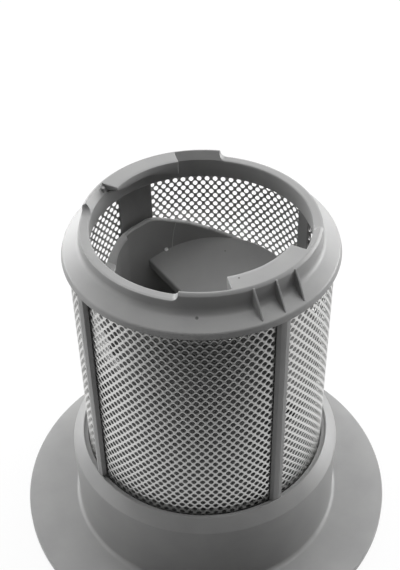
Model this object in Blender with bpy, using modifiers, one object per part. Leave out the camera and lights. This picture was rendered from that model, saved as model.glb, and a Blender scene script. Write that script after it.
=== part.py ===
# Dishwasher filter standing on its wide flange, with the bayonet neck at the top.
# Lengths are in millimetres and are turned into metres as the meshes are made.
# Bearings are in degrees round the upright axis, zero at -Y and rising towards +X.
import math

import bmesh
import bpy

MM = 0.001

# Overall size
TOTAL_HEIGHT = 115.0
SHEET_RADIUS = 38.0
SHEET_THICKNESS = 0.5
FLANGE_THICKNESS = 2.6
NECK_WALL = 2.95
# How far the other round forms stand outside or inside the sheet
FLANGE_REACH = 22.8
SKIRT_REACH = 1.7
COLLAR_REACH = 5.3
SHOULDER_REACH = 2.0
NECK_SETBACK = 3.85

# Free space left between pieces that touch in the real thing
GAP = 0.3
# Further free space on the inside of the sheet, whose facets cut inwards
SHEET_SLACK = 0.2
# How far pieces of one moulding run into each other before they are joined
BITE = 0.6

# Facets round a full turn
ROUND = 60
SHEET_ROUND = 40
# Share of a rounding's radius at which the middle of its arc lies
ARC_MIDDLE = 0.293

# Neck and skirt, as drops below the top of the rim
RIM_ROUNDING = 0.7
RIM_FLAT = 0.55
RIM_SLOPE_DROP = 2.3
NECK_DROP = 4.4
SKIRT_DROP = 10.5
NECK_INNER_DROP = 8.6
INNER_CORNER = 0.4
UNDERSIDE_FLAT = 1.0
LIP_DROP = 11.0
LIP_HEIGHT = 1.1
LIP_WIDTH = 1.0
LIP_SETBACK = 0.2
GROOVE_TOP_DROP = 9.3
GROOVE_FLOOR_DEPTH = 2.0
# Skirt from the neck to its lower edge, as shares of its run outwards and of its fall
SKIRT_SHAPE = ((0.06, 0.16), (0.15, 0.28), (0.30, 0.36), (0.75, 0.59), (0.86, 0.66), (0.93, 0.74),
               (1.0, 1.0))

# Low stretches of the rim, between the two high ones
RIM_STEP = 2.4
STEP_FACETS = 5
LOW_RIM_FROM = 79.0
LOW_RIM_TO = 169.4
# How far the hollow rounding at each end runs along the rim, and how high it rises
STEP_RUN_FROM = 2.8
STEP_RUN_TO = 2.2
STEP_RISE = 2.2
# How far the cutter for a low stretch stands out on all sides
CUTTER_MARGIN = 2.0
HALF_TURN = 180.0

# Bayonet tabs inside the rim
TAB_REACH = 3.6
# Bearing and thickness along a tab: it thins in a ramp towards the end that goes in first
TAB_RAMP = ((13.3, 4.4), (19.0, 4.0), (26.0, 3.05), (32.5, 2.4), (48.0, 2.4), (53.0, 2.05),
            (59.9, 1.2))

# Ribs between neck and skirt, side by side and parallel, the middle one at this bearing
RIB_BEARING = 34.0
RIB_COUNT = 3
RIB_SPACING = 6.8
RIB_THICKNESS = 0.7
RIB_TOP_DROP = 0.5
RIB_TOP_OUT = 0.1
RIB_FOOT_IN = 1.15
RIB_FOOT_DROP = 8.05

# Posts outside and inside the sheet
POST_BEARING = 33.3
POST_COUNT = 4
POST_HALF_WIDTH = 2.05
POST_FACE_HALF_WIDTH = 1.55
POST_DEPTH = 1.3
POST_RIDGE = 0.2
INNER_POST_WIDTH = 4.85
SEAM_POST_WIDTH = 11.7
SEAM_POST_INDEX = 2
INNER_POST_DEPTH = 0.6
INNER_POST_SETBACK = 0.1
INNER_POST_STEP = 4.0

# Base collar and flange
COLLAR_TOP = 31.0
COLLAR_LIP = 0.7
COLLAR_LIP_WIDTH = 0.5
SHOULDER_TOP = 31.4
SHOULDER_BOTTOM = 28.0
FLANGE_FILLET = 1.5
COLLAR_WALL = 2.5
CONE_BOTTOM = 22.0
CONE_TOP = 26.0

# Holes of the sheet, far wider than the real ones, so that there are few of them
HOLE_COLUMNS = 20
HOLE_ROWS = 6
HOLE_SIDES = 6
HOLE_SHARE = 0.754
HOLE_OVERLAP = 1.14
SHEET_EDGE = 3.2
PLUG_IN = 3.0
PLUG_OUT = 2.0

# Insert
CUP_THIN_WALL = 1.5
CUP_THICK_WALL = 3.2
CUP_RIM_HEIGHT = 2.2
CUP_FOOT = 0.6
FLOOR_THICKNESS = 3.0
FLOOR_RISE_X = 0.167
FLOOR_RISE_Y = 0.467
FLOOR_DROP = 50.5
STEP_BEARING = 130.9
STEP_OFFSET = 6.57
FLOOR_SEGMENTS = 36
FRONT_WALL_FROM = 321.0
FRONT_WALL_TO = 394.0
FRONT_WALL_DROP = 11.5
# Bearing and drop of the lip, as a share of the floor's drop, where the wall is thin
LIP_THIN = ((36.0, 1.228), (60.0, 1.109), (90.0, 0.95), (120.0, 0.812), (142.0, 0.727),
            (153.9, 0.691), (164.8, 0.653), (175.3, 0.61), (185.6, 0.562), (195.0, 0.525),
            (206.8, 0.475), (215.6, 0.499), (222.0, 0.511))
# The same where the wall is thick
LIP_THICK = ((226.0, 0.519), (230.6, 0.57), (236.0, 0.638), (260.0, 0.646), (290.0, 0.653),
             (319.5, 0.653))

# Finish of the three materials
GREY_SHADE = 0.27
GREY_ROUGHNESS = 0.45
DARK_SHADE = 0.2
DARK_ROUGHNESS = 0.5
STEEL_SHADE = 0.62
STEEL_ROUGHNESS = 0.28

# Worked out from the sizes above
FLANGE_RADIUS = SHEET_RADIUS + FLANGE_REACH
SKIRT_RADIUS = SHEET_RADIUS + SKIRT_REACH
COLLAR_RADIUS = SHEET_RADIUS + COLLAR_REACH
SHOULDER_RADIUS = SHEET_RADIUS + SHOULDER_REACH
LOWER_BORE_RADIUS = COLLAR_RADIUS - COLLAR_WALL
NECK_RADIUS = SHEET_RADIUS - NECK_SETBACK
NECK_INNER_RADIUS = NECK_RADIUS - NECK_WALL
TAB_INNER_RADIUS = NECK_INNER_RADIUS - TAB_REACH
GROOVE_OUTER_RADIUS = SHEET_RADIUS + GAP
GROOVE_INNER_RADIUS = SHEET_RADIUS - SHEET_THICKNESS - GAP - SHEET_SLACK
BORE_RADIUS = GROOVE_INNER_RADIUS - LIP_WIDTH
CUP_RADIUS = BORE_RADIUS - GAP
CUP_RIM_RADIUS = LOWER_BORE_RADIUS - GAP
SHEET_BOTTOM = COLLAR_TOP - GROOVE_FLOOR_DEPTH + GAP
SHEET_TOP = TOTAL_HEIGHT - GROOVE_TOP_DROP - GAP


def start_empty():
    for old in list(bpy.data.objects):
        bpy.data.objects.remove(old, do_unlink=True)
    for old in list(bpy.data.collections):
        bpy.data.collections.remove(old)


def new_collection(name):
    collection = bpy.data.collections.new(name)
    bpy.context.scene.collection.children.link(collection)
    return collection


def plastic(name, grey, roughness):
    material = bpy.data.materials.new(name)
    material.use_nodes = True
    shader = material.node_tree.nodes["Principled BSDF"]
    shader.inputs["Base Color"].default_value = (grey, grey, grey, 1.0)
    shader.inputs["Roughness"].default_value = roughness
    return material


def steel(name):
    material = plastic(name, STEEL_SHADE, STEEL_ROUGHNESS)
    shader = material.node_tree.nodes["Principled BSDF"]
    shader.inputs["Metallic"].default_value = 1.0
    return material


def place(mesh, name, collection, material=None):
    obj = bpy.data.objects.new(name, mesh)
    collection.objects.link(obj)
    if material:
        mesh.materials.append(material)
    return obj


def hide_cutter(obj):
    obj.hide_render = True
    obj.display_type = "WIRE"


def on_circle(radius, bearing, height):
    turn = math.radians(bearing)
    return (radius * math.sin(turn) * MM, -radius * math.cos(turn) * MM, height * MM)


# A closed outline of radius and height, turned a full turn about the upright axis
def turned(name, outline, collection, material=None, facets=ROUND):
    count = len(outline)
    mesh = bpy.data.meshes.new(name)
    corners = [(radius * MM, 0.0, height * MM) for radius, height in outline]
    edges = [(i, (i + 1) % count) for i in range(count)]
    mesh.from_pydata(corners, edges, [])
    obj = place(mesh, name, collection, material)
    screw = obj.modifiers.new("Turn", "SCREW")
    screw.axis = "Z"
    screw.angle = math.tau
    screw.steps = facets
    screw.render_steps = facets
    screw.use_merge_vertices = True
    screw.merge_threshold = 0.00001
    screw.use_smooth_shade = False
    return obj


# A ring or part of one, lofted through outlines of radius and height at given bearings
def around(name, stations, collection, material=None, full_turn=False):
    build = bmesh.new()
    rows = []
    for bearing, outline in stations:
        rows.append([build.verts.new(on_circle(r, bearing, z)) for r, z in outline])
    count = len(rows[0])
    pairs = list(zip(rows, rows[1:]))
    if full_turn:
        pairs.append((rows[-1], rows[0]))
    else:
        build.faces.new(rows[0])
        build.faces.new(rows[-1])
    for near, far in pairs:
        for i in range(count):
            j = (i + 1) % count
            build.faces.new((near[i], near[j], far[j], far[i]))
    bmesh.ops.recalc_face_normals(build, faces=build.faces)
    mesh = bpy.data.meshes.new(name)
    build.to_mesh(mesh)
    build.free()
    return place(mesh, name, collection, material)


# Straight bars of one outline, one mesh for the whole set
def upright_bars(name, bars, collection):
    build = bmesh.new()
    for bearing, outline, bottom, top in bars:
        turn = math.radians(bearing)
        ends = []
        for height in (bottom, top):
            ring = []
            for across, out in outline:
                x = out * math.sin(turn) + across * math.cos(turn)
                y = -out * math.cos(turn) + across * math.sin(turn)
                ring.append(build.verts.new((x * MM, y * MM, height * MM)))
            ends.append(ring)
        build.faces.new(ends[0])
        build.faces.new(ends[1])
        count = len(outline)
        for i in range(count):
            j = (i + 1) % count
            build.faces.new((ends[0][i], ends[0][j], ends[1][j], ends[1][i]))
    bmesh.ops.recalc_face_normals(build, faces=build.faces)
    mesh = bpy.data.meshes.new(name)
    build.to_mesh(mesh)
    build.free()
    obj = place(mesh, name, collection)
    hide_cutter(obj)
    return obj


def bearings(start, end, step=360.0 / ROUND):
    count = max(1, round((end - start) / step))
    return [start + (end - start) * i / count for i in range(count + 1)]


# Fills in a table of bearings and values until no step is longer than a facet
def spread(points, step=360.0 / ROUND):
    dense = []
    for (near, first), (far, last) in zip(points, points[1:]):
        count = max(1, math.ceil((far - near) / step))
        for i in range(count):
            share = i / count
            dense.append((near + (far - near) * share, first + (last - first) * share))
    dense.append(points[-1])
    return dense


def combine(obj, other, operation):
    change = obj.modifiers.new(other.name, "BOOLEAN")
    change.operation = operation
    change.solver = "EXACT"
    change.object = other
    hide_cutter(other)


def below_top(drop):
    return TOTAL_HEIGHT - drop


def neck_outline():
    radius = NECK_RADIUS
    run = SKIRT_RADIUS - radius
    fall = SKIRT_DROP - NECK_DROP
    shoulder = radius - RIM_ROUNDING
    lip_inside = BORE_RADIUS + LIP_SETBACK
    outline = [
        (shoulder, 0.0),
        (radius - RIM_ROUNDING * ARC_MIDDLE, RIM_ROUNDING * ARC_MIDDLE),
        (radius, RIM_ROUNDING),
        (radius, NECK_DROP),
    ]
    outline += [(radius + run * out, NECK_DROP + fall * down) for out, down in SKIRT_SHAPE]
    outline += [
        (GROOVE_OUTER_RADIUS, SKIRT_DROP),
        (GROOVE_OUTER_RADIUS, GROOVE_TOP_DROP),
        (GROOVE_INNER_RADIUS, GROOVE_TOP_DROP),
        (GROOVE_INNER_RADIUS, LIP_DROP),
        (lip_inside, LIP_DROP),
        (lip_inside, LIP_DROP - LIP_HEIGHT),
        (NECK_INNER_RADIUS + UNDERSIDE_FLAT, NECK_INNER_DROP),
        (NECK_INNER_RADIUS, NECK_INNER_DROP - INNER_CORNER),
        (NECK_INNER_RADIUS, RIM_SLOPE_DROP),
        (shoulder - RIM_FLAT, 0.0),
    ]
    return [(r, below_top(drop)) for r, drop in outline]


def base_outline():
    wall = COLLAR_RADIUS
    fillet = FLANGE_FILLET
    groove_floor = COLLAR_TOP - GROOVE_FLOOR_DEPTH
    lip_top = COLLAR_TOP + COLLAR_LIP
    lip_inside = SHOULDER_RADIUS - COLLAR_LIP_WIDTH
    return [
        (lip_inside, lip_top),
        (SHOULDER_RADIUS, SHOULDER_TOP),
        (wall, SHOULDER_BOTTOM),
        (wall, FLANGE_THICKNESS + fillet),
        (wall + fillet * ARC_MIDDLE, FLANGE_THICKNESS + fillet * ARC_MIDDLE),
        (wall + fillet, FLANGE_THICKNESS),
        (FLANGE_RADIUS, FLANGE_THICKNESS),
        (FLANGE_RADIUS, 0.0),
        (LOWER_BORE_RADIUS, 0.0),
        (LOWER_BORE_RADIUS, CONE_BOTTOM),
        (BORE_RADIUS, CONE_TOP),
        (BORE_RADIUS, COLLAR_TOP),
        (GROOVE_INNER_RADIUS, COLLAR_TOP),
        (GROOVE_INNER_RADIUS, groove_floor),
        (GROOVE_OUTER_RADIUS, groove_floor),
        (GROOVE_OUTER_RADIUS, COLLAR_TOP),
        (lip_inside, COLLAR_TOP),
    ]


def post_bearings():
    return [POST_BEARING + i * 360.0 / POST_COUNT for i in range(POST_COUNT)]


def outer_posts(collection):
    back = GROOVE_OUTER_RADIUS
    face = back + POST_DEPTH - POST_RIDGE
    outline = [
        (-POST_HALF_WIDTH, back),
        (-POST_FACE_HALF_WIDTH, face),
        (0.0, back + POST_DEPTH),
        (POST_FACE_HALF_WIDTH, face),
        (POST_HALF_WIDTH, back),
    ]
    bottom = COLLAR_TOP - BITE
    top = below_top(SKIRT_DROP - BITE * 0.5)
    bars = [(bearing, outline, bottom, top) for bearing in post_bearings()]
    return upright_bars("outer_posts", bars, collection)


def inner_post(index, bearing, collection):
    width = SEAM_POST_WIDTH if index == SEAM_POST_INDEX else INNER_POST_WIDTH
    outside = GROOVE_INNER_RADIUS - INNER_POST_SETBACK
    inside = outside - INNER_POST_DEPTH
    half = math.degrees(width / 2.0 / inside)
    bottom = COLLAR_TOP - BITE
    top = below_top(LIP_DROP - BITE)
    outline = [(inside, bottom), (outside, bottom), (outside, top), (inside, top)]
    stations = [(b, outline) for b in bearings(bearing - half, bearing + half, INNER_POST_STEP)]
    post = around("inner_post_%d" % (index + 1), stations, collection)
    hide_cutter(post)
    return post


def tab(index, collection):
    outer = NECK_RADIUS - RIM_ROUNDING - RIM_FLAT / 2.0
    top = TOTAL_HEIGHT
    shift = index * HALF_TURN
    stations = []
    for bearing, thickness in spread(TAB_RAMP):
        bottom = top - thickness
        outline = [(TAB_INNER_RADIUS, top), (outer, top), (outer, bottom),
                   (TAB_INNER_RADIUS, bottom)]
        stations.append((bearing + shift, outline))
    return around("tab_%d" % (index + 1), stations, collection)


# The side ribs stand off the axis, so each point of their outline is moved in to keep its radius
def rib(index, collection):
    inside = NECK_RADIUS - RIM_ROUNDING
    foot = SKIRT_RADIUS - RIB_FOOT_IN
    outline = [
        (inside, RIB_TOP_DROP + RIB_TOP_OUT),
        (NECK_RADIUS + RIB_TOP_OUT, RIB_TOP_DROP),
        (foot, RIB_FOOT_DROP),
        (foot, RIB_FOOT_DROP + BITE),
        (foot - BITE, RIB_FOOT_DROP + BITE * 2.0),
        (inside, NECK_INNER_DROP - BITE),
    ]
    middle = (index - (RIB_COUNT - 1) / 2.0) * RIB_SPACING
    turn = math.radians(RIB_BEARING)
    build = bmesh.new()
    sides = []
    for across in (middle - RIB_THICKNESS / 2.0, middle + RIB_THICKNESS / 2.0):
        side = []
        for radius, drop in outline:
            out = math.sqrt(radius ** 2 - middle ** 2)
            x = out * math.sin(turn) + across * math.cos(turn)
            y = -out * math.cos(turn) + across * math.sin(turn)
            side.append(build.verts.new((x * MM, y * MM, below_top(drop) * MM)))
        sides.append(side)
        build.faces.new(side)
    for i in range(len(outline)):
        j = (i + 1) % len(outline)
        build.faces.new((sides[0][i], sides[0][j], sides[1][j], sides[1][i]))
    bmesh.ops.recalc_face_normals(build, faces=build.faces)
    mesh = bpy.data.meshes.new("rib_%d" % (index + 1))
    build.to_mesh(mesh)
    build.free()
    return place(mesh, mesh.name, collection)


# The end of a low stretch, as bearings past the step with the height left there
def step_rise(run):
    points = []
    for i in range(STEP_FACETS):
        turn = math.radians(90.0 * i / STEP_FACETS)
        along = math.degrees(run * (1.0 - math.cos(turn)) / NECK_RADIUS)
        points.append((along, STEP_RISE * (1.0 - math.sin(turn))))
    return points


# Takes the rim down between the two high stretches, with hollow rounded ends
def low_rim_cutter(index, collection):
    shift = index * HALF_TURN
    start = LOW_RIM_FROM + shift
    end = LOW_RIM_TO + shift
    flat_start = start + math.degrees(STEP_RUN_FROM / NECK_RADIUS)
    flat_end = end - math.degrees(STEP_RUN_TO / NECK_RADIUS)
    stations = [(start + along, up) for along, up in step_rise(STEP_RUN_FROM)]
    stations += [(b, 0.0) for b in bearings(flat_start, flat_end)]
    stations += [(end - along, up) for along, up in reversed(step_rise(STEP_RUN_TO))]
    inner = NECK_INNER_RADIUS - CUTTER_MARGIN
    outer = NECK_RADIUS + CUTTER_MARGIN
    top = TOTAL_HEIGHT + CUTTER_MARGIN
    floor = below_top(RIM_STEP)
    lofted = []
    for bearing, up in stations:
        low = floor + up
        lofted.append((bearing, [(inner, low), (outer, low), (outer, top), (inner, top)]))
    return around("low_rim_%d" % (index + 1), lofted, collection)


def make_frame(parts, cutters, material):
    frame = turned("filter_frame", base_outline(), parts, material)
    neck = turned("neck", neck_outline(), cutters)
    for index in range(2):
        combine(neck, tab(index, cutters), "UNION")
    for index in range(2):
        combine(neck, low_rim_cutter(index, cutters), "DIFFERENCE")
    for index in range(RIB_COUNT):
        combine(neck, rib(index, cutters), "UNION")
    combine(frame, outer_posts(cutters), "UNION")
    for index, bearing in enumerate(post_bearings()):
        combine(frame, inner_post(index, bearing, cutters), "UNION")
    combine(frame, neck, "UNION")
    return frame


def sheet_outline():
    inner = SHEET_RADIUS - SHEET_THICKNESS
    return [
        (SHEET_RADIUS, SHEET_TOP),
        (SHEET_RADIUS, SHEET_BOTTOM),
        (inner, SHEET_BOTTOM),
        (inner, SHEET_TOP),
    ]


# One six-sided plug for every hole, each standing out along its own radius
def hole_plugs(collection):
    low = COLLAR_TOP + SHEET_EDGE
    high = below_top(LIP_DROP) - SHEET_EDGE
    pitch = (high - low) / HOLE_ROWS
    turn_pitch = 360.0 / HOLE_COLUMNS
    half_across = math.pi * SHEET_RADIUS / HOLE_COLUMNS * HOLE_SHARE
    reach = pitch / 2.0 * HOLE_OVERLAP
    build = bmesh.new()
    for row in range(HOLE_ROWS):
        middle = low + pitch * (row + 0.5)
        shift = turn_pitch / 2.0 if row % 2 else 0.0
        for column in range(HOLE_COLUMNS):
            turn = math.radians(column * turn_pitch + shift)
            ends = []
            for out in (SHEET_RADIUS - PLUG_IN, SHEET_RADIUS + PLUG_OUT):
                ring = []
                for corner in range(HOLE_SIDES):
                    angle = math.tau * (corner + 0.5) / HOLE_SIDES + math.pi / 2.0
                    across = half_across * math.cos(angle) / math.cos(math.pi / HOLE_SIDES)
                    up = reach * math.sin(angle)
                    x = out * math.sin(turn) + across * math.cos(turn)
                    y = -out * math.cos(turn) + across * math.sin(turn)
                    ring.append(build.verts.new((x * MM, y * MM, (middle + up) * MM)))
                ends.append(ring)
            build.faces.new(ends[0])
            build.faces.new(ends[1])
            for i in range(HOLE_SIDES):
                j = (i + 1) % HOLE_SIDES
                build.faces.new((ends[0][i], ends[0][j], ends[1][j], ends[1][i]))
    bmesh.ops.recalc_face_normals(build, faces=build.faces)
    mesh = bpy.data.meshes.new("hole_plugs")
    build.to_mesh(mesh)
    build.free()
    return place(mesh, "hole_plugs", collection)


def make_sleeve(parts, cutters, material):
    sleeve = turned("perforated_sleeve", sheet_outline(), parts, material, SHEET_ROUND)
    combine(sleeve, hole_plugs(cutters), "DIFFERENCE")
    return sleeve


def cup_section(drop, wall):
    inner = CUP_RADIUS - wall
    top = below_top(drop)
    foot = CUP_FOOT + CUP_RIM_HEIGHT
    return [
        (CUP_RIM_RADIUS, CUP_FOOT),
        (CUP_RIM_RADIUS, foot),
        (CUP_RADIUS, foot),
        (CUP_RADIUS, top),
        (inner, top),
        (inner, CUP_FOOT),
    ]


def cup_stations():
    stations = []
    for bearing, share in spread(LIP_THIN):
        stations.append((bearing, cup_section(share * FLOOR_DROP, CUP_THIN_WALL)))
    for bearing, share in spread(LIP_THICK):
        stations.append((bearing, cup_section(share * FLOOR_DROP, CUP_THICK_WALL)))
    for bearing in bearings(FRONT_WALL_FROM, FRONT_WALL_TO):
        stations.append((bearing, cup_section(FRONT_WALL_DROP, CUP_THIN_WALL)))
    return stations


def floor_height(x, y):
    return TOTAL_HEIGHT - FLOOR_DROP + FLOOR_RISE_X * x + FLOOR_RISE_Y * y


# The sloped floor, from the straight step round to the right-hand wall
def cup_floor(collection):
    radius = CUP_RADIUS - CUP_THIN_WALL + BITE
    half = math.degrees(math.acos(STEP_OFFSET / radius))
    build = bmesh.new()
    top = []
    bottom = []
    for i in range(FLOOR_SEGMENTS + 1):
        turn = math.radians(STEP_BEARING - half + 2.0 * half * i / FLOOR_SEGMENTS)
        x = radius * math.sin(turn)
        y = -radius * math.cos(turn)
        z = floor_height(x, y)
        top.append(build.verts.new((x * MM, y * MM, z * MM)))
        bottom.append(build.verts.new((x * MM, y * MM, (z - FLOOR_THICKNESS) * MM)))
    build.faces.new(top)
    build.faces.new(bottom)
    for i in range(len(top)):
        j = (i + 1) % len(top)
        build.faces.new((top[i], top[j], bottom[j], bottom[i]))
    bmesh.ops.recalc_face_normals(build, faces=build.faces)
    mesh = bpy.data.meshes.new("cup_floor")
    build.to_mesh(mesh)
    build.free()
    return place(mesh, "cup_floor", collection)


def make_cup(parts, cutters, material):
    cup = around("inner_cup", cup_stations(), parts, material, full_turn=True)
    combine(cup, cup_floor(cutters), "UNION")
    return cup


def main():
    start_empty()
    parts = new_collection("dishwasher_filter")
    cutters = new_collection("cutters")
    grey = plastic("grey_plastic", GREY_SHADE, GREY_ROUGHNESS)
    dark = plastic("dark_grey_plastic", DARK_SHADE, DARK_ROUGHNESS)
    make_frame(parts, cutters, grey)
    make_sleeve(parts, cutters, steel("stainless_sheet"))
    make_cup(parts, cutters, dark)


main()
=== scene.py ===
import math

import bmesh
import bpy
from mathutils import Matrix, Vector


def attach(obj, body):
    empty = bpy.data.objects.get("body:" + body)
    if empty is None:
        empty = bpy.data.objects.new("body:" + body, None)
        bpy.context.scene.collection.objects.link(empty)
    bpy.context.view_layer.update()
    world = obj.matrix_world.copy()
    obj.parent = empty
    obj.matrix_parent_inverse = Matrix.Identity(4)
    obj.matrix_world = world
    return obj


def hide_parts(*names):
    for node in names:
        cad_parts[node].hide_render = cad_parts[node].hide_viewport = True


# Looks of the dishwasher filter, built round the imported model.
# Lengths are in millimetres, turned into metres as the meshes are made. Drops are counted
# down from the top of the rim. Bearings are in degrees, zero at -Y and rising towards +X.
MM = 0.001
TOTAL_HEIGHT = 115.0
FULL_TURN = 360.0
HALF_TURN = 180.0
# Corners of a mesh that lie closer together than this are one corner
SAME_POINT = 0.002
# Share of a rounding's radius at which the middle of its arc lies
ARC_MIDDLE = 0.29
# Steps of a quarter turn, for the short roundings at the ends of rim and tabs
CORNER_TURNS = (0.0, 30.0, 60.0, 90.0)
# Faces that meet at a wider angle than this keep a sharp edge
SHARP_ANGLE = 32.0
POST_SHARP_ANGLE = 25.0
SHEET_SHARP_ANGLE = 40.0
WELD_SHARP_ANGLE = 60.0

# Neck, rim and skirt
NECK_RADIUS = 34.15
NECK_INNER_RADIUS = 31.2
NECK_FOOT_RADIUS = 31.5
NECK_FOOT_DROP = 8.2
NECK_FOOT_ROUNDING = 0.4
# Outer edge of the rim, a narrow slope with softened corners, as radius and drop
RIM_OUTER_EDGE = ((33.15, 0.0), (33.3, 0.02), (33.42, 0.09), (34.02, 0.62), (34.12, 0.78),
                  (34.15, 0.95))
OUTER_WALL_DROP = 2.9
RIM_FLAT_INNER = 32.9
RIM_SLOPE_DROP = 2.3
# Points up the inside wall and then up the slope, together as many as round a tab
INNER_WALL_DROPS = (5.0, 2.95, 2.8, 2.72)
SLOPE_STEPS = 11
# Low stretches of the rim
RIM_STEP = 2.4
STEP_CORNER = 0.25
LOW_EDGE_ROUNDING = 0.5
LOW_RIM_FROM = 79.0
LOW_RIM_TO = 169.4
# How far the hollow rounding at each end of a low stretch runs along the rim
STEP_RUN_FROM = 2.8
STEP_RUN_TO = 2.2
STEP_RISE = 2.2
HOLLOW_START = 0.06
HOLLOW_STEPS = 10
NECK_DROP = 4.4
FILLET_RADIUS = 2.5
SKIRT_SLOPE = 29.0
BAND_LEAN = 14.0
CREST_CENTRE = (38.38, 9.37)
CREST_ROUNDING = 1.0
SKIRT_RADIUS = 39.7
SKIRT_DROP = 10.5
SKIRT_EDGE = 0.2
GROOVE_OUTER_RADIUS = 38.3
GROOVE_INNER_RADIUS = 37.0
GROOVE_TOP_DROP = 9.3
LIP_INNER_RADIUS = 36.2
LIP_DROP = 11.0
# Underside of the skirt from the lip in to the neck's foot, as radius and drop
UNDERSIDE = ((LIP_INNER_RADIUS, 10.05), (36.0, 9.9), (32.6, 8.65), (32.3, 8.6))
NECK_STATION_STEP = 1.5
# How far in bearing the even stations keep off a rim step, a hollow rounding and a tab
STEP_CLEARANCE = 1.0
HOLLOW_CLEARANCE = 0.8
TAB_CLEARANCE = 0.4
TAB_INNER_CLEARANCE = 1.0

# Bayonet tabs
TAB_FROM = 13.3
TAB_TO = 59.9
TAB_INNER_RADIUS = 27.6
# Bearing and thickness along a tab: it thins in a ramp towards the end that goes in first
TAB_RAMP = ((13.3, 4.4), (19.0, 4.0), (26.0, 3.05), (32.5, 2.4), (48.0, 2.4), (53.0, 2.05),
            (59.9, 1.2))
TAB_EDGE = 0.25
TAB_MIDDLE_RADIUS = 30.0
# How far in from the wall and below the tab's flat underside the corner between them lies
TAB_ROOT = ((0.0, 0.7), (0.0, 0.2), (0.15, 0.05), (0.5, 0.0))
TAB_UNDERSIDE_RADIUS = 29.3
TAB_TOP_RADII = (28.8, 30.2, 31.6)
# Bearing between the bare slope and a tab's upright end
TAB_END_STEP = 0.01

# Small stop on the slope beside the back tab's end
STOP_BEARING = 242.0
STOP_HALF_WIDTH = 0.6
STOP_INSIDE = 31.3
STOP_OUTSIDE = 32.4
STOP_TOP_DROP = 0.5
STOP_FOOT_DROP = 3.4
STOP_EDGE = 0.25

# Ribs between neck and skirt, side by side and parallel, the middle one at this bearing
RIB_BEARING = 34.0
RIB_COUNT = 3
RIB_SPACING = 6.8
RIB_THICKNESS = 0.6
RIB_EDGE = 0.12
# Side of a rib as radius and drop
RIB_OUTLINE = ((33.5, 0.75), (34.0, 0.35), (34.25, 0.4), (36.4, 4.1), (38.3, 7.85), (38.5, 8.2),
               (38.5, 8.7), (38.0, 9.1), (33.5, 7.4))

# Posts
POST_BEARING = 33.3
POST_COUNT = 4
# Section of an outer post with its ridge, as place across and distance from the axis
POST_OUTLINE = ((-2.05, 38.3), (-1.62, 39.3), (-1.5, 39.48), (-1.3, 39.55), (-0.12, 39.68),
                (0.0, 39.62), (0.12, 39.68), (1.3, 39.55), (1.5, 39.48), (1.62, 39.3),
                (2.05, 38.3))
INNER_POST_WIDTH = 4.85
SEAM_POST_WIDTH = 11.7
SEAM_POST_INDEX = 2
INNER_POST_INSIDE = 37.1
INNER_POST_OUTSIDE = 37.65
INNER_POST_EDGE = 0.25
# Bearing from an inner post's side to its first even station, and from one to the next
INNER_POST_CLEARANCE = 0.8
INNER_POST_STEP = 1.0
# How far the posts run into the collar and the lip, and into the skirt
POST_BITE = 0.5
SKIRT_BITE = 0.3

# Base collar and flange
COLLAR_TOP = 31.0
COLLAR_RADIUS = 43.3
COLLAR_MOUTH_RADIUS = 39.5
# Centre and radius of the two roundings over the collar's mouth
MOUTH_INNER_ROUNDING = ((39.62, 31.55), 0.12)
MOUTH_OUTER_ROUNDING = ((39.82, 31.45), 0.22)
SHOULDER_HEIGHT = 27.9
SHOULDER_ROUNDING = 0.8
COLLAR_MIDDLE = 15.0
FLANGE_RADIUS = 60.8
FLANGE_THICKNESS = 2.6
FLANGE_FILLET = 1.6
FLANGE_EDGE = 0.25
FLANGE_TOP_MIDDLE = 52.0
FLANGE_FOOT_MIDDLE = 50.0
BORE_RADIUS = 36.0
BORE_EDGE = 0.15
LOWER_BORE_RADIUS = 40.8
CONE_BOTTOM = 22.0
CONE_TOP = 26.0
BASE_GROOVE_DEPTH = 2.0
BASE_STATION_STEP = 1.5

# Perforated sheet
SHEET_RADIUS = 38.0
SHEET_THICKNESS = 0.22
SHEET_TOP_DROP = 9.6
# The top row of holes is cut off flat at this drop
HOLE_TOP_DROP = 10.0
HOLE_COLUMNS = 94
HOLE_ROWS = 48
HOLE_BEARING = 0.5
FIRST_ROW_DROP = 10.306
ROW_STEP = 1.585
HOLE_HALF_WIDTH = 0.785
HOLE_HALF_HEIGHT = 0.83
# 2 is an ellipse and 1 a diamond: the holes lie between, with straight webs crossing
HOLE_POWER = 1.7
# The sheet dips a little towards each hole, from this many times the hole's size
DIMPLE_REACH = 1.3
DIMPLE_DEPTH = 0.05
PANELS = 4

# Insert
CUP_RADIUS = 35.7
CUP_THIN_INSIDE = 34.2
CUP_RIM_RADIUS = 40.5
CUP_FOOT = 0.6
CUP_RIM_HEIGHT = 2.2
CUP_EDGE = 0.3
CUP_INNER_EDGE = 0.5
# The inside wall has a point at this drop, or this far below the lip where that is lower
CUP_MIDDLE_DROP = 60.0
CUP_MIDDLE_BELOW_LIP = 5.0
CUP_STATION_STEP = 1.5
FLOOR_THICKNESS = 3.0
FLOOR_EDGE = 0.5
FLOOR_BITE = 0.5
FLOOR_RISE_X = 0.167
FLOOR_RISE_Y = 0.467
FLOOR_DROP = 50.5
FLOOR_STEP = ((-16.9, 29.5), (-7.7, 18.9))
FLOOR_SEGMENTS = 96
FRONT_WALL_FROM = 321.0
FRONT_WALL_TO = 394.0
FRONT_WALL_DROP = 11.4
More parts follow.
